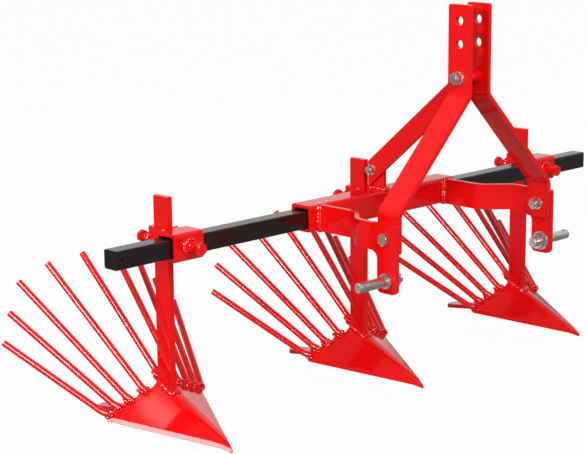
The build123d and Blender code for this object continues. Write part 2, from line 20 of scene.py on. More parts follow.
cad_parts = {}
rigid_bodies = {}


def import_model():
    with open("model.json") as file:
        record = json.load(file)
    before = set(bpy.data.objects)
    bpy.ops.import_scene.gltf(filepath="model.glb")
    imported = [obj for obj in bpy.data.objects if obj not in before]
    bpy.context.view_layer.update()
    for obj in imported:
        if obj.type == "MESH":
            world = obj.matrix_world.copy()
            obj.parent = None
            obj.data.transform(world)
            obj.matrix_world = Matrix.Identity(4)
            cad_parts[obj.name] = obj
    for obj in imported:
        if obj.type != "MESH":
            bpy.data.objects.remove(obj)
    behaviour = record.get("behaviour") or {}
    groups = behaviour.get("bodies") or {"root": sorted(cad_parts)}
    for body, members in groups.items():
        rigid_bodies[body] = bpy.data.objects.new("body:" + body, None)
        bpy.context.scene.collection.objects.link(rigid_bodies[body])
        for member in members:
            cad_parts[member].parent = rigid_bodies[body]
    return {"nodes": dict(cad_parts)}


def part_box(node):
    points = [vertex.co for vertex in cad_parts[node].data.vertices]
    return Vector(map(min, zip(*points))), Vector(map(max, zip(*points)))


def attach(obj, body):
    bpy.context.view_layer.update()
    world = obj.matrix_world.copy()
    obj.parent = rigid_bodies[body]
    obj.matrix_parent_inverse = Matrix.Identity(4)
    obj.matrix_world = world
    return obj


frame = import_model()

LOG = logging.getLogger("potato_digger")
MM = 0.001
IMAGE_WIDTH = 587
WHITE = (1.0, 1.0, 1.0, 1.0)
# The level way from the camera to the lit backdrop.
BACKDROP = (0.7071, 0.7071, 0.0)
# The middle of the machine, at which most lamps point.
MIDDLE = (0.0, 0.0, 0.45)
# Points nearer than this are one: a CAD node's mesh is loose triangles.
MERGE = 0.01 * MM
# Most values of a noise texture lie between these two.
NOISE_SPAN = (0.3, 0.7)
# Waves that a wave texture has over one metre at a scale of 1.
WAVES_PER_METRE = 20 / (2 * math.pi)
# A thread's ridge is wound this share of its pitch inside the shaft's surface.
THREAD_SINK = 0.25
# Colour, darker patches and chips of the red coat.
RED_COAT = ("E60D0E", "DE0B0C", "5A0A0C")
# A bead's way round the foot of a rod, in pairs. The first goes along the rod from its end:
# back in lengths of the foot or, below 0, ahead in shares of rod_ahead. The second goes across
# it, in shares of rod_side.
ROD_LOOP = ((1.6, 1), (0.8, 1), (0.0, 1), (-0.8, 0.6), (-1.0, 0),
            (-0.8, -0.6), (0.0, -1), (0.8, -1), (1.6, -1))

Colour = tuple[float, float, float, float]
Path = list[Vector]


class Side(Enum):
    """The two sides of the machine, named as its nodes are."""

    LEFT = "left"
    RIGHT = "right"


class Row(Enum):
    """The three rows, named as their nodes are."""

    LEFT = "left"
    MIDDLE = "middle"
    RIGHT = "right"


class Finish(Enum):
    """The finishes of the machine, named for the real materials."""

    RED = "red_stoved_enamel"
    SCREW = "red_enamel_on_screws"
    WIRE = "red_enamel_on_drawn_wire"
    WELD = "red_enamel_on_weld"
    BLACK = "black_satin_enamel"
    PLUG = "black_moulded_polyethylene"
    ZINC = "bright_zinc_plate"


class Slot(Enum):
    """Two of the record's material slots. Nothing in this script reads them."""

    RED = "red_paint"
    ZINC = "zinc"


# Shared helpers

def linear(code: str) -> Colour:
    """Turn an sRGB hex colour into linear light.

    Args:
        code: Six hex digits, red first.

    Returns:
        Red, green, blue and an alpha of 1.
    """
    parts = [int(code[i:i + 2], 16) / 255 for i in (0, 2, 4)]
    light = [c / 12.92 if c <= 0.04045 else ((c + 0.055) / 1.055) ** 2.4 for c in parts]
    return light[0], light[1], light[2], 1.0


def per_metre(size_mm: float) -> float:
    """Give a texture's scale for features of a size in millimetres."""
    return 1 / (size_mm * MM)


def add_node(tree: bpy.types.NodeTree, kind: str, inputs: dict | None = None,
             **settings: object) -> bpy.types.Node:
    """Add a node, set it up and link it.

    Args:
        tree: The node tree that takes the node.
        kind: The node's type name.
        inputs: Socket name, identifier or index to a value, or to an output to link.
        settings: The node's own properties.

    Returns:
        The new node.
    """
    node = tree.nodes.new(kind)
    for name, value in settings.items():
        setattr(node, name, value)
    for key, value in (inputs or {}).items():
        if isinstance(key, int):
            socket = node.inputs[key]
        else:
            socket = next(s for s in node.inputs if s.enabled and key in (s.identifier, s.name))
        if isinstance(value, bpy.types.NodeSocket):
            tree.links.new(value, socket)
        else:
            socket.default_value = value
    return node


def new_surface(name: str) -> tuple[bpy.types.Material, bpy.types.NodeTree, bpy.types.Node]:
    """Start a material with only its output node.

    Args:
        name: The material's name.

    Returns:
        The material, its tree and its output node.
    """
    material = bpy.data.materials.new(name)
    material.use_nodes = True
    tree = material.node_tree
    tree.nodes.clear()
    return material, tree, tree.nodes.new("ShaderNodeOutputMaterial")


def evaluated_mesh(source: bpy.types.Object) -> bpy.types.Mesh:
    """Give what an object's modifiers make, as a plain mesh."""
    graph = bpy.context.evaluated_depsgraph_get()
    return bpy.data.meshes.new_from_object(source.evaluated_get(graph), depsgraph=graph)


def link_object(name: str, mesh: bpy.types.Mesh) -> bpy.types.Object:
    """Put a mesh into the scene as an object at the origin.

    Args:
        name: The object's name.
        mesh: Its mesh.

    Returns:
        The object.
    """
    obj = bpy.data.objects.new(name, mesh)
    bpy.context.scene.collection.objects.link(obj)
    return obj


# Finishes

@dataclass(frozen=True)
class Enamel:
    """Stoved enamel on steel, sprayed on thick: a wet gloss with a faint orange peel.

    The colour drifts a little over a hand's width, pinholes and chips show as dark dots, and
    the gloss makes flat tops pale where they are seen at a low angle. Orange peel is really
    2 to 5 mm across. On the red it is drawn coarser, so that it shows in the render.
    """

    name: str
    colour: str
    deep: str
    chip: str
    rough: tuple[float, float]
    peel_mm: float
    peel_depth_mm: float
    chip_share: float
    drift_mm: float = 120.0
    chip_mm: float = 7.0
    chip_fade: float = 0.04
    ior: float = 1.45

    def make(self) -> bpy.types.Material:
        """Build the material.

        Returns:
            The finished material.
        """
        material, tree, output = new_surface(self.name)
        place = add_node(tree, "ShaderNodeTexCoord").outputs["Object"]
        drift = add_node(tree, "ShaderNodeTexNoise",
                         {"Vector": place, "Scale": per_metre(self.drift_mm), "Detail": 3.0})
        body = add_node(tree, "ShaderNodeMix", {"Factor": drift.outputs["Fac"],
                                               "A": linear(self.deep), "B": linear(self.colour)},
                        data_type="RGBA")
        dots = add_node(tree, "ShaderNodeTexNoise",
                        {"Vector": place, "Scale": per_metre(self.chip_mm), "Detail": 2.0})
        chipped = add_node(tree, "ShaderNodeMapRange",
                           {"Value": dots.outputs["Fac"], "From Min": 1 - self.chip_share,
                            "From Max": 1 + self.chip_fade - self.chip_share})
        colour = add_node(tree, "ShaderNodeMix", {"Factor": chipped.outputs["Result"],
                                                 "A": body.outputs["Result"],
                                                 "B": linear(self.chip)}, data_type="RGBA")
        shine = add_node(tree, "ShaderNodeMapRange",
                         {"Value": drift.outputs["Fac"], "To Min": self.rough[0],
                          "To Max": self.rough[1]})
        peel = add_node(tree, "ShaderNodeTexNoise",
                        {"Vector": place, "Scale": per_metre(self.peel_mm), "Detail": 2.0})
        bump = add_node(tree, "ShaderNodeBump",
                        {"Height": peel.outputs["Fac"], "Strength": 1.0,
                         "Distance": self.peel_depth_mm * MM})
        shader = add_node(tree, "ShaderNodeBsdfPrincipled",
                          {"Base Color": colour.outputs["Result"],
                           "Roughness": shine.outputs["Result"], "IOR": self.ior,
                           "Normal": bump.outputs["Normal"]})
        tree.links.new(shader.outputs["BSDF"], output.inputs["Surface"])
        return material


@dataclass(frozen=True)
class ZincPlate:
    """Bright zinc plate on turned steel: pale grey metal with turning marks and dull clouds.

    Real turning marks are tenths of a millimetre apart, too fine to show in the render, so they
    are drawn coarser.
    """

    name: str
    bright: str
    dull: str
    rough: tuple[float, float]
    cloud_mm: float = 6.0
    mark_mm: float = 5.655
    mark_depth_mm: float = 0.006

    def make(self) -> bpy.types.Material:
        """Build the material.

        Returns:
            The finished material.
        """
        material, tree, output = new_surface(self.name)
        place = add_node(tree, "ShaderNodeTexCoord").outputs["Object"]
        cloud = add_node(tree, "ShaderNodeTexNoise",
                         {"Vector": place, "Scale": per_metre(self.cloud_mm), "Detail": 4.0})
        patch = add_node(tree, "ShaderNodeMapRange",
                         {"Value": cloud.outputs["Fac"], "From Min": NOISE_SPAN[0],
                          "From Max": NOISE_SPAN[1]})
        colour = add_node(tree, "ShaderNodeMix", {"Factor": patch.outputs["Result"],
                                                 "A": linear(self.bright),
                                                 "B": linear(self.dull)}, data_type="RGBA")
        shine = add_node(tree, "ShaderNodeMapRange",
                         {"Value": patch.outputs["Result"], "To Min": self.rough[0],
                          "To Max": self.rough[1]})
        marks = add_node(tree, "ShaderNodeTexWave",
                         {"Vector": place, "Scale": per_metre(self.mark_mm) / WAVES_PER_METRE,
                          "Distortion": 1.5, "Detail": 2.0}, bands_direction="X")
        bump = add_node(tree, "ShaderNodeBump",
                        {"Height": marks.outputs["Fac"], "Strength": 1.0,
                         "Distance": self.mark_depth_mm * MM})
        shader = add_node(tree, "ShaderNodeBsdfPrincipled",
                          {"Base Color": colour.outputs["Result"], "Metallic": 1.0,
                           "Roughness": shine.outputs["Result"],
                           "Normal": bump.outputs["Normal"]})
        tree.links.new(shader.outputs["BSDF"], output.inputs["Surface"])
        return material


@dataclass(frozen=True)
class StudioPaper:
    """Grey-white paper of the studio floor, lit up from below so that it looks white.

    Its own matt share keeps the machine's shadow. Gloss mirrors it as dim paper underfoot
    that grows bright toward the lit backdrop: near and far are each a distance that way, in
    metres, and how bright the paper is there.
    """

    name: str = "studio_paper"
    colour: str = "B4B4B4"
    glow_share: float = 0.965
    near: tuple[float, float] = (1.5, 0.22)
    far: tuple[float, float] = (4.0, 0.8)

    def make(self) -> bpy.types.Material:
        """Build the material.

        Returns:
            The finished material.
        """
        material, tree, output = new_surface(self.name)
        path = add_node(tree, "ShaderNodeLightPath")
        mirrored = add_node(tree, "ShaderNodeMath", {0: path.outputs["Is Glossy Ray"],
                                                    1: path.outputs["Is Transmission Ray"]},
                            operation="MAXIMUM")
        share = add_node(tree, "ShaderNodeMath", {0: path.outputs["Is Camera Ray"],
                                                 1: self.glow_share, 2: mirrored.outputs[0]},
                         operation="MULTIPLY_ADD")
        place = add_node(tree, "ShaderNodeTexCoord").outputs["Object"]
        reach = add_node(tree, "ShaderNodeVectorMath", {0: place, 1: BACKDROP},
                         operation="DOT_PRODUCT")
        sweep = add_node(tree, "ShaderNodeMapRange",
                         {"Value": reach.outputs["Value"], "From Min": self.near[0],
                          "From Max": self.far[0], "To Min": self.near[1], "To Max": self.far[1]})
        level = add_node(tree, "ShaderNodeMix", {"Factor": mirrored.outputs[0], "A": 1.0,
                                                "B": sweep.outputs["Result"]}, data_type="FLOAT")
        matt = add_node(tree, "ShaderNodeBsdfDiffuse", {"Color": linear(self.colour)})
        glow = add_node(tree, "ShaderNodeEmission", {"Color": WHITE,
                                                    "Strength": level.outputs["Result"]})
        mixed = add_node(tree, "ShaderNodeMixShader", {0: share.outputs[0],
                                                      1: matt.outputs[0], 2: glow.outputs[0]})
        tree.links.new(mixed.outputs[0], output.inputs["Surface"])
        return material


@dataclass
class PaintShop:
    """Every material of the machine, made once."""

    red: bpy.types.Material = field(init=False)
    screw: bpy.types.Material = field(init=False)
    wire: bpy.types.Material = field(init=False)
    weld: bpy.types.Material = field(init=False)
    black: bpy.types.Material = field(init=False)
    plug: bpy.types.Material = field(init=False)
    zinc: bpy.types.Material = field(init=False)

    def __post_init__(self) -> None:
        """Make the materials."""
        # Red stoved enamel: a deep wet red with sharp lights on every round and edge.
        self.red = Enamel(Finish.RED.value, *RED_COAT, (0.06, 0.1),
                          peel_mm=14.0, peel_depth_mm=0.01, chip_share=0.22).make()
        # Red enamel on a set screw or nut: the same coat, and a finish of its own only so that
        # lamps can pick out its hex edges.
        self.screw = Enamel(Finish.SCREW.value, *RED_COAT, (0.06, 0.1),
                            peel_mm=14.0, peel_depth_mm=0.01, chip_share=0.22).make()
        # Red enamel on drawn wire: the same red, a little duller, with one long light on it.
        self.wire = Enamel(Finish.WIRE.value, *RED_COAT, (0.17, 0.2),
                           peel_mm=14.0, peel_depth_mm=0.002, chip_share=0.2, ior=1.58).make()
        # The same enamel run thick over a rough weld: small lumps that sparkle.
        self.weld = Enamel(Finish.WELD.value, "E40D0E", "DA0B0C", "8A0A0C", (0.06, 0.12),
                           peel_mm=5.0, peel_depth_mm=0.14, chip_share=0.2, ior=1.6).make()
        # Black satin enamel on drawn tube: near black upright, grey where light grazes it.
        self.black = Enamel(Finish.BLACK.value, "1A1411", "130F0D", "0C0B0A", (0.17, 0.24),
                            peel_mm=6.0, peel_depth_mm=0.02, chip_share=0.2, ior=1.55).make()
        # Black moulded polyethylene: a dull, slightly greyer black than the tube.
        self.plug = Enamel(Finish.PLUG.value, "17130F", "12100D", "0E0D0C",
                           (0.3, 0.38), peel_mm=2.5, peel_depth_mm=0.03,
                           chip_share=0.1).make()
        # Bright zinc plate: pale grey metal with bright and dark bands where it is round.
        self.zinc = ZincPlate(Finish.ZINC.value, "FCFDF8", "B8B9B2", (0.2, 0.36)).make()


# Weld beads, spatter and threads

@dataclass
class Seam:
    """A weld seam: the line that the torch followed, and the bead's radius.

    Where a size is named a stand, it is how far a bead's middle stands out of the corner that
    it fills, and where it is named a stop, how far the bead ends short of the corner's end.
    Both are shares of the bead's radius.
    """

    path: Path
    radius: float
    closed: bool = False


def seam_mesh(seams: Iterable[Seam]) -> bpy.types.Mesh:
    """Draw seams as bare edges that carry their bead's radius.

    Args:
        seams: The seams to draw.

    Returns:
        A mesh of edges with a point attribute named bead_radius.
    """
    points, edges, radii = [], [], []
    for seam in seams:
        start = len(points)
        points += seam.path
        radii += [seam.radius] * len(seam.path)
        edges += [(start + i, start + i + 1) for i in range(len(seam.path) - 1)]
        if seam.closed:
            edges.append((len(points) - 1, start))
    mesh = bpy.data.meshes.new("seams")
    mesh.from_pydata([tuple(p) for p in points], edges, [])
    mesh.attributes.new("bead_radius", "FLOAT", "POINT").data.foreach_set("value", radii)
    return mesh


@dataclass
class Shaft:
    """A bare stretch of threaded shaft, and the radius on which its ridge is wound."""

    start: Vector
    end: Vector
    radius: float
    pitch: float
    material: bpy.types.Material


def new_tree(tree_name: str, **inputs: str
             ) -> tuple[bpy.types.NodeTree, bpy.types.Node, bpy.types.Node]:
    """Start a geometry tree with a geometry in and out and named inputs.

    Args:
        tree_name: The tree's name.
        inputs: The kind of socket of each further input, by the input's name.

    Returns:
        The tree, its input node and its output node.
    """
    tree = bpy.data.node_groups.new(tree_name, "GeometryNodeTree")
    tree.interface.new_socket("Geometry", in_out="INPUT", socket_type="NodeSocketGeometry")
    for label, kind in inputs.items():
        tree.interface.new_socket(label, in_out="INPUT", socket_type=f"NodeSocket{kind}")
    tree.interface.new_socket("Geometry", in_out="OUTPUT", socket_type="NodeSocketGeometry")
    return tree, tree.nodes.new("NodeGroupInput"), tree.nodes.new("NodeGroupOutput")


def finish_tree(tree: bpy.types.NodeTree, geometry: bpy.types.NodeSocket,
                material: bpy.types.NodeSocket, output: bpy.types.Node) -> None:
    """Realise a tree's instances, smooth them and give them their material.

    Args:
        tree: The tree.
        geometry: What the tree has made so far.
        material: The tree's material input.
        output: The tree's output node.
    """
    real = add_node(tree, "GeometryNodeRealizeInstances", {"Geometry": geometry})
    smooth = add_node(tree, "GeometryNodeSetShadeSmooth", {0: real.outputs[0]})
    painted = add_node(tree, "GeometryNodeSetMaterial", {"Geometry": smooth.outputs[0],
                                                        "Material": material})
    tree.links.new(painted.outputs[0], output.inputs["Geometry"])


def bead_tree() -> bpy.types.NodeTree:
    """Make the tree that runs a lumpy bead of weld along bare edges.

    Returns:
        The tree.
    """
    tree, given, output = new_tree("weld_bead", Pitch="Float", Wander="Float", Lump="Float",
                                   Thinnest="Float", Thickest="Float", Grain="Float", Seed="Int",
                                   Material="Material")
    line = add_node(tree, "GeometryNodeMeshToCurve", {"Mesh": given.outputs["Geometry"]})
    drops = add_node(tree, "GeometryNodeCurveToPoints",
                     {"Curve": line.outputs[0], "Length": given.outputs["Pitch"]}, mode="LENGTH")
    low = add_node(tree, "ShaderNodeVectorMath", {0: (-1, -1, -1), "Scale": given.outputs["Wander"]},
                   operation="SCALE")
    high = add_node(tree, "ShaderNodeVectorMath", {0: (1, 1, 1), "Scale": given.outputs["Wander"]},
                    operation="SCALE")
    stray = add_node(tree, "FunctionNodeRandomValue",
                     {"Min": low.outputs[0], "Max": high.outputs[0],
                      "Seed": given.outputs["Seed"]}, data_type="FLOAT_VECTOR")
    moved = add_node(tree, "GeometryNodeSetPosition", {"Geometry": drops.outputs["Points"],
                                                      "Offset": stray.outputs[0]})
    radius = add_node(tree, "GeometryNodeInputNamedAttribute", {"Name": "bead_radius"},
                      data_type="FLOAT")
    closeness = add_node(tree, "ShaderNodeMath", {0: 1.0, 1: given.outputs["Lump"]},
                         operation="DIVIDE")
    swell = add_node(tree, "ShaderNodeTexNoise", {"Scale": closeness.outputs[0], "Detail": 1.0})
    share = add_node(tree, "ShaderNodeMapRange",
                     {"Value": swell.outputs["Fac"], "From Min": NOISE_SPAN[0],
                      "From Max": NOISE_SPAN[1], "To Min": given.outputs["Thinnest"],
                      "To Max": given.outputs["Thickest"]})
    size = add_node(tree, "ShaderNodeMath", {0: radius.outputs[0], 1: share.outputs["Result"]},
                    operation="MULTIPLY")
    molten = add_node(tree, "GeometryNodePointsToVolume",
                      {"Points": moved.outputs[0], "Voxel Size": given.outputs["Grain"],
                       "Radius": size.outputs[0]}, resolution_mode="VOXEL_SIZE")
    cooled = add_node(tree, "GeometryNodeVolumeToMesh",
                      {"Volume": molten.outputs[0], "Voxel Size": given.outputs["Grain"]},
                      resolution_mode="VOXEL_SIZE")
    finish_tree(tree, cooled.outputs[0], given.outputs["Material"], output)
    return tree


def spatter_tree() -> bpy.types.NodeTree:
    """Make the tree that strews weld spatter on a plate's upper face, near bare edges.

    Returns:
        The tree.
    """
    tree, given, output = new_tree("weld_spatter", Plate="Object", Band="Float", Density="Float",
                                   Upward="Float", Smallest="Float", Largest="Float", Seed="Int",
                                   Material="Material")
    plate = add_node(tree, "GeometryNodeObjectInfo", {"Object": given.outputs["Plate"]})
    spots = add_node(tree, "GeometryNodeDistributePointsOnFaces",
                     {"Mesh": plate.outputs["Geometry"], "Density": given.outputs["Density"],
                      "Seed": given.outputs["Seed"]})
    near = add_node(tree, "GeometryNodeProximity", {0: given.outputs["Geometry"]},
                    target_element="EDGES")
    reach = add_node(tree, "FunctionNodeRandomValue",
                     {"Max": given.outputs["Band"], "Seed": given.outputs["Seed"]},
                     data_type="FLOAT")
    far = add_node(tree, "FunctionNodeCompare", {"A": near.outputs["Distance"],
                                                "B": reach.outputs["Value"]},
                   operation="GREATER_THAN")
    facing = add_node(tree, "ShaderNodeSeparateXYZ", {"Vector": spots.outputs["Normal"]})
    under = add_node(tree, "FunctionNodeCompare", {"A": facing.outputs["Z"],
                                                  "B": given.outputs["Upward"]},
                     operation="LESS_THAN")
    away = add_node(tree, "FunctionNodeBooleanMath", {0: far.outputs[0], 1: under.outputs[0]},
                    operation="OR")
    kept = add_node(tree, "GeometryNodeDeleteGeometry", {"Geometry": spots.outputs["Points"],
                                                        "Selection": away.outputs[0]})
    size = add_node(tree, "FunctionNodeRandomValue",
                    {"Min": given.outputs["Smallest"], "Max": given.outputs["Largest"],
                     "Seed": given.outputs["Seed"]}, data_type="FLOAT")
    drop = add_node(tree, "GeometryNodeMeshIcoSphere", {"Radius": 1.0, "Subdivisions": 1})
    strewn = add_node(tree, "GeometryNodeInstanceOnPoints",
                      {"Points": kept.outputs[0], "Instance": drop.outputs["Mesh"],
                       "Scale": size.outputs["Value"]})
    finish_tree(tree, strewn.outputs[0], given.outputs["Material"], output)
    return tree


def thread_tree(turn_points: int = 20, ridge_sides: int = 4) -> bpy.types.NodeTree:
    """Make the tree that winds a thread's ridge round an axis.

    Args:
        turn_points: Points in one turn of the ridge.
        ridge_sides: Sides of the ridge's section.

    Returns:
        The tree.
    """
    tree, given, output = new_tree("thread_ridge", Radius="Float", Pitch="Float", Crest="Float",
                                   Length="Float", Start="Vector", Turn="Rotation",
                                   Material="Material")
    turns = add_node(tree, "ShaderNodeMath", {0: given.outputs["Length"],
                                             1: given.outputs["Pitch"]}, operation="DIVIDE")
    helix = add_node(tree, "GeometryNodeCurveSpiral",
                     {"Resolution": turn_points, "Rotations": turns.outputs[0],
                      "Start Radius": given.outputs["Radius"],
                      "End Radius": given.outputs["Radius"], "Height": given.outputs["Length"]})
    section = add_node(tree, "GeometryNodeCurvePrimitiveCircle",
                       {"Resolution": ridge_sides, "Radius": given.outputs["Crest"]})
    ridge = add_node(tree, "GeometryNodeCurveToMesh",
                     {"Curve": helix.outputs[0], "Profile Curve": section.outputs[0],
                      "Fill Caps": True})
    placed = add_node(tree, "GeometryNodeTransform",
                      {"Geometry": ridge.outputs[0], "Translation": given.outputs["Start"],
                       "Rotation": given.outputs["Turn"]})
    finish_tree(tree, placed.outputs[0], given.outputs["Material"], output)
    return tree


def grown(name: str, mesh: bpy.types.Mesh, tree: bpy.types.NodeTree,
          values: dict[str, object]) -> bpy.types.Mesh:
    """Run a geometry tree on a mesh and keep the result as a plain mesh.

    Args:
        name: A name for the short-lived object.
        mesh: What the tree starts from.
        tree: The tree.
        values: The tree's inputs by name.

    Returns:
        The mesh that the tree makes.
    """
    source = link_object(name, mesh)
    modifier = source.modifiers.new(tree.name, "NODES")
    modifier.node_group = tree
    for item in tree.interface.items_tree:
        if item.in_out == "INPUT" and item.name in values:
            modifier[item.identifier] = values[item.name]
    result = evaluated_mesh(source)
    bpy.data.objects.remove(source)
    return result


@dataclass
class WeldShop:
    """Lays the beads, the spatter and the threads, and hangs each on its body.

    A bead is a row of drops that lie a pitch apart, wander a little, swell and thin over each
    lump, and are melted together in steps of the grain. Spatter lies in a band beside a seam,
    where the plate faces upward enough, at a density of drops per square metre. The crest is a
    thread's ridge as a share of its pitch. The count numbers what is laid and strewn, and is
    the seed of each.
    """

    paint: PaintShop
    pitch: float = 2.2 * MM
    wander: float = 0.6 * MM
    lump: float = 9 * MM
    thinnest: float = 0.86
    thickest: float = 1.14
    grain: float = 0.9 * MM
    band: float = 18 * MM
    density: float = 30000.0
    upward: float = 0.3
    smallest_drop: float = 0.35 * MM
    largest_drop: float = 1.3 * MM
    crest: float = 0.4
    count: int = 0
    beads: bpy.types.NodeTree = field(default_factory=bead_tree)
    spatter: bpy.types.NodeTree = field(default_factory=spatter_tree)
    threads: bpy.types.NodeTree = field(default_factory=thread_tree)

    def hang(self, name: str, mesh: bpy.types.Mesh, body: str) -> None:
        """Make a piece of a mesh, ride it on its body and report it.

        Args:
            name: The piece's name.
            mesh: Its mesh.
            body: The body that carries it.
        """
        piece = link_object(name, mesh)
        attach(piece, body)
        LOG.info("%s: %d faces on %s", name, len(mesh.polygons), body)

    def lay(self, name: str, body: str, seams: Sequence[Seam]) -> None:
        """Lay the beads of one body.

        Args:
            name: The piece's name.
            body: The body that carries it.
            seams: The seams to weld.
        """
        self.count += 1
        mesh = grown(name + ".path", seam_mesh(seams), self.beads,
                     {"Pitch": self.pitch, "Wander": self.wander, "Lump": self.lump,
                      "Thinnest": self.thinnest, "Thickest": self.thickest,
                      "Grain": self.grain, "Seed": self.count, "Material": self.paint.weld})
        self.hang(name, mesh, body)

    def strew(self, name: str, body: str, seams: Sequence[Seam], plate: str) -> None:
        """Strew spatter on a plate along its seams.

        Args:
            name: The piece's name.
            body: The body that carries it.
            seams: The seams that threw the spatter.
            plate: The node that it landed on.
        """
        self.count += 1
        mesh = grown(name + ".path", seam_mesh(seams), self.spatter,
                     {"Plate": frame["nodes"][plate], "Band": self.band, "Density": self.density,
                      "Upward": self.upward, "Smallest": self.smallest_drop,
                      "Largest": self.largest_drop, "Seed": self.count,
                      "Material": self.paint.weld})
        self.hang(name, mesh, body)

    def wind(self, name: str, body: str, shafts: Sequence[Shaft]) -> None:
        """Wind the threads of one body.

        Args:
            name: The piece's name.
            body: The body that carries them.
            shafts: The bare stretches of shaft that show their thread.
        """
        joined = bmesh.new()
        for shaft in shafts:
            run = shaft.end - shaft.start
            ridge = grown(name + ".axis", bpy.data.meshes.new("axis"), self.threads,
                          {"Radius": shaft.radius, "Pitch": shaft.pitch,
                           "Crest": self.crest * shaft.pitch, "Length": run.length,
                           "Start": shaft.start, "Turn": run.to_track_quat("Z", "Y").to_euler(),
                           "Material": shaft.material})
            joined.from_mesh(ridge)
        mesh = bpy.data.meshes.new(name)
        joined.to_mesh(mesh)
        joined.free()
        mesh.materials.append(shafts[0].material)
        self.hang(name, mesh, body)


# Reading the frame

def end_face(node: str, axis: int, sign: int, depth: float = 0.2 * MM) -> tuple[Vector, Vector]:
    """Find the box of the face where a node ends.

    Args:
        node: The node's name.
        axis: 0, 1 or 2 for X, Y or Z.
        sign: 1 for the far end along the axis, -1 for the near one.
        depth: How far from the end a point may lie.

    Returns:
        The lowest and highest corners of the points at that end.
    """
    points = [v.co for v in frame["nodes"][node].data.vertices]
    end = max(sign * p[axis] for p in points)
    face = [p for p in points if sign * p[axis] > end - depth]
    low = Vector(min(p[i] for p in face) for i in range(3))
    return low, Vector(max(p[i] for p in face) for i in range(3))


def surface(node: str) -> BVHTree:
    """Give a node's surface for ray casts."""
    mesh = frame["nodes"][node].data
    return BVHTree.FromPolygons([v.co for v in mesh.vertices],
                                [tuple(p.vertices) for p in mesh.polygons])


def islands(node: str) -> list[Path]:
    """Split a node's points into its separate solids.

    Args:
        node: The node's name.

    Returns:
        One list of points for each solid.
    """
    mesh = bmesh.new()
    mesh.from_mesh(frame["nodes"][node].data)
    bmesh.ops.remove_doubles(mesh, verts=mesh.verts, dist=MERGE)
    seen, found = set(), []
    for first in mesh.verts:
        if first in seen:
            continue
        seen.add(first)
        front, group = [first], []
        while front:
            vert = front.pop()
            group.append(vert.co.copy())
            for edge in vert.link_edges:
                other = edge.other_vert(vert)
                if other not in seen:
                    seen.add(other)
                    front.append(other)
        found.append(group)
    mesh.free()
    return found


# Dressing the CAD nodes

@dataclass(frozen=True)
class EdgeBreak:
    """The small round that filing, forging or paint leaves on a steel edge."""

    width: float = 0.9 * MM
    segments: int = 2
    sharper_than: float = math.radians(35)

    def apply(self, obj: bpy.types.Object) -> None:
        """Round the sharp edges of a node without touching its mesh.

        Args:
            obj: The node's object.
        """
        weld = obj.modifiers.new("join_faces", "WELD")
        weld.merge_threshold = MERGE
        bevel = obj.modifiers.new("edge_break", "BEVEL")
        bevel.width = self.width
        bevel.segments = self.segments
        bevel.limit_method = "ANGLE"
        bevel.angle_limit = self.sharper_than
        flat = obj.modifiers.new("flat_faces", "WEIGHTED_NORMAL")
        flat.mode = "FACE_AREA_WITH_ANGLE"


def coat(names: Iterable[str], material: bpy.types.Material,
         edge: EdgeBreak | None = None) -> None:
    """Give CAD nodes their material, and round their edges.

    Args:
        names: The nodes.
        material: Their material.
        edge: How their edges are broken, or None to leave them.
    """
    for name in names:
        obj = frame["nodes"][name]
        obj.data.materials.clear()
        obj.data.materials.append(material)
        if edge is not None:
            edge.apply(obj)
        LOG.info("%s dressed in %s", name, material.name)


# Sub-assemblies

class SubAssembly(ABC):
    """A part of the machine that is dressed, and gets what pieces it needs built onto it."""

    def build(self) -> None:
        """Build nothing, where the CAD nodes are all that the part needs."""

    @abstractmethod
    def dress(self) -> None:
        """Give the part's CAD nodes their finishes."""


@dataclass
class Toolbar(SubAssembly):
    """The black square tube and its end plugs."""

    paint: PaintShop

    def dress(self) -> None:
        """Paint the tube and its plugs."""
        coat(["toolbar_tube"], self.paint.black)
        coat([f"toolbar_cap_{side.value}" for side in Side], self.paint.plug)


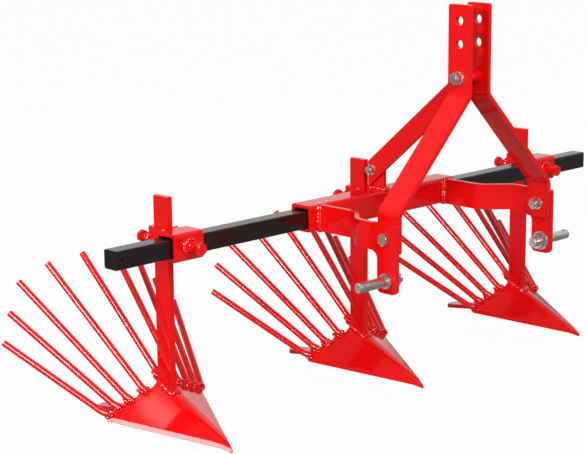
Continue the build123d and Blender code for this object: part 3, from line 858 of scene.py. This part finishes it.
@dataclass
class HitchFrame(SubAssembly):
    """The sleeve on the toolbar with the three-point hitch that is welded and bolted to it."""

    paint: PaintShop
    shop: WeldShop
    bead: float = 8.5 * MM
    arm_stand: float = 0.2
    arm_stop: float = 0.7
    lug_bead: float = 5.5 * MM
    lug_stand: float = 0.3
    nut_bead: float = 4.5 * MM
    bolt_radius: float = 8 * MM
    bolt_pitch: float = 2 * MM
    brace_bolt_radius: float = 6 * MM
    brace_bolt_pitch: float = 1.75 * MM
    pin_radius: float = 11 * MM
    pin_pitch: float = 2.5 * MM
    edge: EdgeBreak = EdgeBreak()
    turned_edge: EdgeBreak = EdgeBreak(width=0.5 * MM)

    def arm_seams(self) -> list[Seam]:
        """Give the upright seams between the arms and the sleeve.

        Returns:
            One seam on each side of each arm.
        """
        seams = []
        out, stop = self.arm_stand * self.bead, self.arm_stop * self.bead
        for side in Side:
            low, high = end_face(f"hitch_arm_{side.value}", 1, 1)
            y = high.y - out
            for x in (low.x - out, high.x + out):
                seams.append(Seam([Vector((x, y, low.z + stop)), Vector((x, y, high.z - stop))],
                                  self.bead))
        return seams

    def lug_seam(self) -> Seam:
        """Give the seam round the foot of the brace's lug.

        Returns:
            A closed seam.
        """
        low, high = end_face("brace_lug", 2, -1)
        out = self.lug_stand * self.lug_bead
        corners = [(low.x - out, low.y - out), (high.x + out, low.y - out),
                   (high.x + out, high.y + out), (low.x - out, high.y + out)]
        return Seam([Vector((x, y, low.z + out)) for x, y in corners], self.lug_bead, closed=True)

    def shafts(self) -> list[Shaft]:
        """Give the threaded tails that stand out of the nuts.

        Returns:
            One shaft for each bolt and pin.
        """
        tails = [("mast_bolt", "mast_nut", self.bolt_radius, self.bolt_pitch, -1),
                 ("brace_bolt", "brace_nut", self.brace_bolt_radius, self.brace_bolt_pitch, -1)]
        for side, way in ((Side.LEFT, 1), (Side.RIGHT, -1)):
            tails.append((f"leg_bolt_{side.value}", f"leg_nut_{side.value}",
                          self.bolt_radius, self.bolt_pitch, way))
            tails.append((f"lower_pin_{side.value}", f"lower_pin_nut_{side.value}",
                          self.pin_radius, self.pin_pitch, way))
        found = []
        for bolt, nut, radius, pitch, way in tails:
            tip, seat = end_face(bolt, 0, way)[1], end_face(nut, 0, way)[0]
            low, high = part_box(nut)
            centre = (low + high) / 2
            start = Vector((seat.x, centre.y, centre.z))
            end = Vector((tip.x - way * pitch, centre.y, centre.z))
            found.append(Shaft(start, end, radius - THREAD_SINK * pitch, pitch, self.paint.zinc))
        return found

    def build(self) -> None:
        """Weld the frame and wind its threads."""
        seams = [*self.arm_seams(), self.lug_seam(), *socket_seams("sleeve_socket", self.bead),
                 nut_seam("shank_nut_middle", -1, self.nut_bead)]
        self.shop.lay("frame_weld_beads", "frame", seams)
        self.shop.wind("frame_bolt_threads", "frame", self.shafts())

    def dress(self) -> None:
        """Paint the steel red, and leave the fasteners bright."""
        red = ["hitch_sleeve", "sleeve_socket", "brace_lug"]
        bright = ["mast_bolt", "mast_nut", "mast_washer", "brace_bolt", "brace_nut",
                  "brace_washer"]
        for side in (s.value for s in Side):
            red += [f"hitch_arm_{side}", f"mast_leg_{side}"]
            bright += [f"{kind}_{side}" for kind in
                       ("leg_bolt", "leg_nut", "leg_washer", "lower_pin", "lower_pin_nut",
                        "lower_pin_washer")]
        coat(red, self.paint.red, self.edge)
        coat(["mast_brace", "mast_spacer"], self.paint.red)
        coat(["shank_nut_middle"], self.paint.screw)
        coat(bright, self.paint.zinc, self.turned_edge)


def socket_seams(node: str, bead: float, stand: float = 0.3, stop: float = 0.6) -> list[Seam]:
    """Give the upright seams between a shank's pocket and the box in front of it.

    Args:
        node: The pocket's node.
        bead: The bead's radius.
        stand: How far the bead stands out of the corner, as a share of its radius.
        stop: How far it ends short of the pocket's ends, as a share of its radius.

    Returns:
        One seam on each side.
    """
    low, high = end_face(node, 1, -1)
    y, bottom, top = low.y + stand * bead, low.z + stop * bead, high.z - stop * bead
    return [Seam([Vector((x, y, bottom)), Vector((x, y, top))], bead)
            for x in (low.x - stand * bead, high.x + stand * bead)]


def nut_seam(node: str, seat: int, bead: float, stand: float = 0.4, lift: float = 0.2,
             steps: int = 24) -> Seam:
    """Give the ring of weld round a nut.

    Args:
        node: The nut's node.
        seat: 1 if the nut sits on its far Y side, -1 if on its near one.
        bead: The bead's radius.
        stand: How far the bead stands out of the nut's corners, as a share of its radius.
        lift: How far it stands off the nut's seat, as a share of its radius.
        steps: Points round the ring.

    Returns:
        A closed seam.
    """
    low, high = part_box(node)
    centre, radius = (low + high) / 2, (high.z - low.z) / 2 + stand * bead
    y = (high.y if seat > 0 else low.y) - seat * lift * bead
    turns = (2 * math.pi * i / steps for i in range(steps))
    ring = [Vector((centre.x + radius * math.cos(t), y, centre.z + radius * math.sin(t)))
            for t in turns]
    return Seam(ring, bead, closed=True)


@dataclass
class ClampUnit(SubAssembly):
    """A box that slides on the toolbar, with its pocket and its weld nuts."""

    side: Side
    paint: PaintShop
    shop: WeldShop
    bead: float = 4.5 * MM
    nut_bead: float = 5.0 * MM
    edge: EdgeBreak = EdgeBreak()

    def build(self) -> None:
        """Weld the box, its pocket and its nuts."""
        side = self.side.value
        seams = [*socket_seams(f"clamp_socket_{side}", self.bead),
                 nut_seam(f"bar_nut_{side}", 1, self.nut_bead),
                 nut_seam(f"shank_nut_{side}", -1, self.nut_bead)]
        self.shop.lay(f"clamp_{side}_weld_beads", f"clamp_{side}", seams)

    def dress(self) -> None:
        """Paint the clamp red."""
        side = self.side.value
        coat([f"clamp_box_{side}", f"clamp_socket_{side}"], self.paint.red, self.edge)
        coat([f"bar_nut_{side}", f"shank_nut_{side}"], self.paint.screw)


@dataclass
class SetScrew(SubAssembly):
    """A hexagon set screw, painted over with the machine.

    Its way is 1 if its head points backward and -1 if forward.
    """

    body: str
    nut: str
    way: int
    paint: PaintShop
    shop: WeldShop
    head: float = 10 * MM
    radius: float = 8 * MM
    pitch: float = 2 * MM

    def build(self) -> None:
        """Wind the thread that shows between the nut and the head."""
        low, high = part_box(self.body)
        centre = (low + high) / 2
        nut_low, nut_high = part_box(self.nut)
        start = nut_high.y if self.way > 0 else nut_low.y
        end = high.y - self.head if self.way > 0 else low.y + self.head
        shaft = Shaft(Vector((centre.x, start, centre.z)), Vector((centre.x, end, centre.z)),
                      self.radius - THREAD_SINK * self.pitch, self.pitch, self.paint.screw)
        self.shop.wind(f"{self.body}_thread", self.body, [shaft])

    def dress(self) -> None:
        """Paint the screw red."""
        coat([self.body], self.paint.screw)


@dataclass
class RowUnit(SubAssembly):
    """One row: shank, share, fan of rods and heel, welded together."""

    row: Row
    paint: PaintShop
    shop: WeldShop
    shank_bead: float = 6.5 * MM
    shank_stand: float = 0.4
    shank_steps: int = 6
    rod_bead: float = 3.3 * MM
    rod_stand: float = 0.4
    rod_side: float = 6.4 * MM
    rod_ahead: float = 3.5 * MM
    rod_half: float = 7.0 * MM
    cap_bead: float = 5.0 * MM
    cap_half: float = 3.0 * MM
    heel_bead: float = 4.0 * MM
    heel_stand: float = 0.3
    heel_step: float = 7.0 * MM
    heel_points: int = 8
    touch: float = 0.45 * MM
    plate: BVHTree = field(init=False)

    def __post_init__(self) -> None:
        """Read the share's surface."""
        self.plate = surface(f"share_{self.row.value}")

    def on_plate(self, x: float, y: float, from_above: bool = True) -> Vector | None:
        """Drop a point onto the share.

        Args:
            x: The point's X.
            y: The point's Y.
            from_above: True for the upper face, False for the lower one.

        Returns:
            The point on the face, or None beside the share.
        """
        way = -1 if from_above else 1
        return self.plate.ray_cast(Vector((x, y, -way)), Vector((0, 0, way)))[0]

    def shank_seam(self) -> Seam:
        """Give the seam round the shank's foot: both sides and the front.

        Returns:
            An open seam that lies on the share.
        """
        low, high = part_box(f"shank_{self.row.value}")
        out = self.shank_stand * self.shank_bead
        corners = [(low.x - out, high.y), (low.x - out, low.y - out),
                   (high.x + out, low.y - out), (high.x + out, high.y)]
        path = []
        for (x0, y0), (x1, y1) in zip(corners, corners[1:]):
            for step in range(self.shank_steps):
                t = step / self.shank_steps
                hit = self.on_plate(x0 + t * (x1 - x0), y0 + t * (y1 - y0))
                if hit is not None:
                    path.append(hit)
        return Seam(path, self.shank_bead)

    def rod_seams(self) -> list[Seam]:
        """Give the seams round the feet of the rods and over their ends.

        Returns:
            Two seams for each rod.
        """
        seams = []
        for points in islands(f"rods_{self.row.value}"):
            resting = [p for p in points if self.plate.find_nearest(p)[3] < self.touch]
            if not resting:
                continue
            foot, bend = min(resting, key=lambda p: p.y), max(resting, key=lambda p: p.y)
            normal = self.plate.find_nearest(foot)[1]
            along = (bend - foot).normalized() if bend != foot else Vector((0, 1, 0))
            across = normal.cross(along).normalized()
            path = []
            for shift, turn in ROD_LOOP:
                ahead = shift * (self.rod_ahead if shift < 0 else (bend - foot).length)
                path.append(foot + along * ahead + across * turn * self.rod_side
                            + normal * self.rod_stand * self.rod_bead)
            seams.append(Seam(path, self.rod_bead))
            middle, half = foot + normal * self.rod_half, across * self.cap_half
            seams.append(Seam([middle - half, middle + half], self.cap_bead))
        return seams

    def heel_seams(self) -> list[Seam]:
        """Give the seams along both sides of the heel, under the share.

        Returns:
            One seam on each side.
        """
        low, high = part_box(f"heel_{self.row.value}")
        front = end_face(f"heel_{self.row.value}", 1, -1)[1].y
        out = self.heel_stand * self.heel_bead
        seams = []
        for x in (low.x - out, high.x + out):
            path = [self.on_plate(x, front + step * self.heel_step, False)
                    for step in range(self.heel_points)]
            seams.append(Seam([p for p in path if p is not None], self.heel_bead))
        return seams

    def build(self) -> None:
        """Weld the row and strew its spatter."""
        row = self.row.value
        top = [self.shank_seam(), *self.rod_seams()]
        self.shop.lay(f"row_{row}_weld_beads", f"row_{row}", [*top, *self.heel_seams()])
        self.shop.strew(f"row_{row}_weld_spatter", f"row_{row}", top, f"share_{row}")

    def dress(self) -> None:
        """Paint the row red."""
        row = self.row.value
        coat([f"shank_{row}", f"share_{row}"], self.paint.red)
        coat([f"heel_{row}", f"rods_{row}"], self.paint.wire)


# Studio

@dataclass(frozen=True)
class PhotoCamera:
    """The camera that took the picture: where it stood and how it was turned."""

    place: tuple[float, float, float] = (-2.86863, -2.653458, 1.213011)
    right: tuple[float, float, float] = (0.7100492, -0.70410481, -0.00815766)
    up: tuple[float, float, float] = (0.15663089, 0.1466372, 0.97671096)
    focal_px: float = 1717.41
    sensor_mm: float = 36.0

    def build(self) -> None:
        """Set up the scene's camera."""
        data = bpy.data.cameras.new("photo_camera")
        data.sensor_fit = "HORIZONTAL"
        data.sensor_width = self.sensor_mm
        data.lens = self.focal_px / IMAGE_WIDTH * self.sensor_mm
        camera = bpy.data.objects.new("photo_camera", data)
        right, up = Vector(self.right).normalized(), Vector(self.up).normalized()
        turn = Matrix((right, up, right.cross(up))).transposed()
        camera.matrix_world = Matrix.Translation(self.place) @ turn.to_4x4()
        bpy.context.scene.collection.objects.link(camera)
        bpy.context.scene.camera = camera


@dataclass(frozen=True)
class SoftBox:
    """A soft light that points at the machine.

    A matt one shows in no mirror. One with finishes shows only in the gloss of the pieces that
    wear them, so that it puts lights on round pieces and no glare on flat tops.
    """

    name: str
    place: tuple[float, float, float]
    width: float
    height: float
    watts: float
    aim: tuple[float, float, float] = MIDDLE
    matt: bool = False
    finishes: tuple[Finish, ...] = ()

    def build(self) -> None:
        """Hang the light and aim it."""
        data = bpy.data.lights.new(self.name, "AREA")
        data.shape = "RECTANGLE"
        data.size = self.width
        data.size_y = self.height
        data.energy = self.watts
        light = bpy.data.objects.new(self.name, data)
        place = Vector(self.place)
        turn = (Vector(self.aim) - place).to_track_quat("-Z", "Y").to_matrix().to_4x4()
        light.matrix_world = Matrix.Translation(place) @ turn
        light.visible_camera = False
        light.visible_glossy = not self.matt
        light.visible_diffuse = not self.finishes
        if self.finishes:
            light.light_linking.receiver_collection = self.glossy_pieces()
        bpy.context.scene.collection.objects.link(light)

    def glossy_pieces(self) -> bpy.types.Collection:
        """Gather the pieces that wear one of this light's finishes.

        Returns:
            A collection of their objects.
        """
        pieces = bpy.data.collections.new(f"{self.name}_pieces")
        names = {finish.value for finish in self.finishes}
        for obj in bpy.data.objects:
            worn = {slot.name for slot in obj.material_slots}
            if worn & names:
                pieces.objects.link(obj)
        return pieces


@dataclass
class Studio:
    """A studio: paper floor, a lit backdrop in a dim room, and soft boxes.

    The floor lies just below the lowest setting of a row, which is 60 mm down. The fill is the
    room's matt light, at the feet and overhead, and it rises over a span of heights. To mirrors
    the backdrop fades to the ceiling over a span of heights, and to the room over a span of
    directions. Spans are parts of a ray's direction, from -1 to 1.
    """

    floor_radius: float = 60.0
    floor_sides: int = 64
    floor_drop: float = 61 * MM
    fill: tuple[float, float] = (0.12, 0.28)
    fill_span: tuple[float, float] = (-0.1, 0.5)
    backdrop: float = 0.86
    backdrop_span: tuple[float, float] = (0.0, 0.45)
    ceiling: float = 0.25
    ceiling_span: tuple[float, float] = (0.5, 0.9)
    room: float = 0.24
    boxes: tuple[SoftBox, ...] = (
        SoftBox("side_box", (-4.45, 0.41, 2.33), 0.93, 0.93, 104.0, matt=True),
        SoftBox("line_box", (-2.85, -0.3, 1.5), 1.4, 1.2, 112.0,
                finishes=(Finish.WIRE, Finish.WELD, Finish.SCREW)),
        SoftBox("low_box", (-3.1, -0.55, 0.81), 0.75, 0.22, 8.0, (-0.67, -0.05, 0.03)),
        SoftBox("front_box", (-1.35, -3.0, 2.75), 2.0, 2.0, 130.0, matt=True),
        SoftBox("glint_box", (-1.2, -3.7, 1.9), 1.7, 1.7, 165.0,
                finishes=(Finish.WELD, Finish.SCREW, Finish.ZINC)),
        SoftBox("top_box", (-0.98, 0.275, 2.6), 0.075, 0.16, 0.13, (-0.98, 0.275, 0.0)),
        SoftBox("sky_sheet", (-0.6, -0.5, 2.4), 2.4, 2.4, 18.0, (-0.6, -0.5, 0.0),
                finishes=(Finish.ZINC,)),
        SoftBox("low_sheet", (-0.7, 0.65, -0.055), 1.3, 1.3, 4.0, (-0.7, 0.65, 1.0),
                finishes=(Finish.ZINC,)),
    )

    def build(self) -> None:
        """Lay the floor, light the room and set the view transform."""
        mesh = bmesh.new()
        bmesh.ops.create_circle(mesh, cap_ends=True, segments=self.floor_sides,
                                radius=self.floor_radius,
                                matrix=Matrix.Translation((0, 0, -self.floor_drop)))
        paper = bpy.data.meshes.new("studio_floor")
        mesh.to_mesh(paper)
        mesh.free()
        paper.materials.append(StudioPaper().make())
        link_object("studio_floor", paper)
        for box in self.boxes:
            box.build()
        self.surround()
        bpy.context.scene.view_settings.view_transform = "Standard"

    def surround(self) -> None:
        """Make the room white to the eye, and to mirrors bright at the backdrop and dim elsewhere."""
        world = bpy.data.worlds.new("white_room")
        bpy.context.scene.world = world
        world.use_nodes = True
        tree = world.node_tree
        tree.nodes.clear()
        way = add_node(tree, "ShaderNodeTexCoord").outputs["Generated"]
        height = add_node(tree, "ShaderNodeSeparateXYZ", {0: way}).outputs["Z"]
        upright = add_node(tree, "ShaderNodeMapRange",
                           {"Value": height, "From Min": self.ceiling_span[0],
                            "From Max": self.ceiling_span[1], "To Min": self.backdrop,
                            "To Max": self.ceiling})
        toward = add_node(tree, "ShaderNodeVectorMath", {0: way, 1: BACKDROP},
                          operation="DOT_PRODUCT")
        behind = add_node(tree, "ShaderNodeMapRange",
                          {"Value": toward.outputs["Value"], "From Min": self.backdrop_span[0],
                           "From Max": self.backdrop_span[1]})
        gloss = add_node(tree, "ShaderNodeMix", {"Factor": behind.outputs["Result"],
                                                "A": self.room, "B": upright.outputs["Result"]},
                         data_type="FLOAT")
        fill = add_node(tree, "ShaderNodeMapRange",
                        {"Value": height, "From Min": self.fill_span[0],
                         "From Max": self.fill_span[1], "To Min": self.fill[0],
                         "To Max": self.fill[1]})
        path = add_node(tree, "ShaderNodeLightPath")
        mirrored = add_node(tree, "ShaderNodeMath", {0: path.outputs["Is Glossy Ray"],
                                                    1: path.outputs["Is Transmission Ray"]},
                            operation="MAXIMUM")
        level = add_node(tree, "ShaderNodeMix", {"Factor": mirrored.outputs[0],
                                                "A": fill.outputs["Result"],
                                                "B": gloss.outputs["Result"]}, data_type="FLOAT")
        strength = add_node(tree, "ShaderNodeMix", {"Factor": path.outputs["Is Camera Ray"],
                                                   "A": level.outputs["Result"], "B": 1.0},
                            data_type="FLOAT")
        glow = add_node(tree, "ShaderNodeBackground", {"Color": WHITE,
                                                      "Strength": strength.outputs["Result"]})
        output = tree.nodes.new("ShaderNodeOutputWorld")
        tree.links.new(glow.outputs[0], output.inputs["Surface"])


def main() -> None:
    """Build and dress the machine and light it."""
    logging.basicConfig(level=logging.INFO, format="%(message)s")
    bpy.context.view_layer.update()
    paint = PaintShop()
    shop = WeldShop(paint)
    parts: list[SubAssembly] = [Toolbar(paint), HitchFrame(paint, shop)]
    for side in Side:
        parts.append(ClampUnit(side, paint, shop))
        parts.append(SetScrew(f"bar_screw_{side.value}", f"bar_nut_{side.value}", -1, paint, shop))
    for row in Row:
        parts.append(RowUnit(row, paint, shop))
        parts.append(SetScrew(f"shank_screw_{row.value}", f"shank_nut_{row.value}", 1, paint, shop))
    for part in parts:
        part.build()
        part.dress()
    PhotoCamera().build()
    Studio().build()


if __name__ == "__main__":
    main()
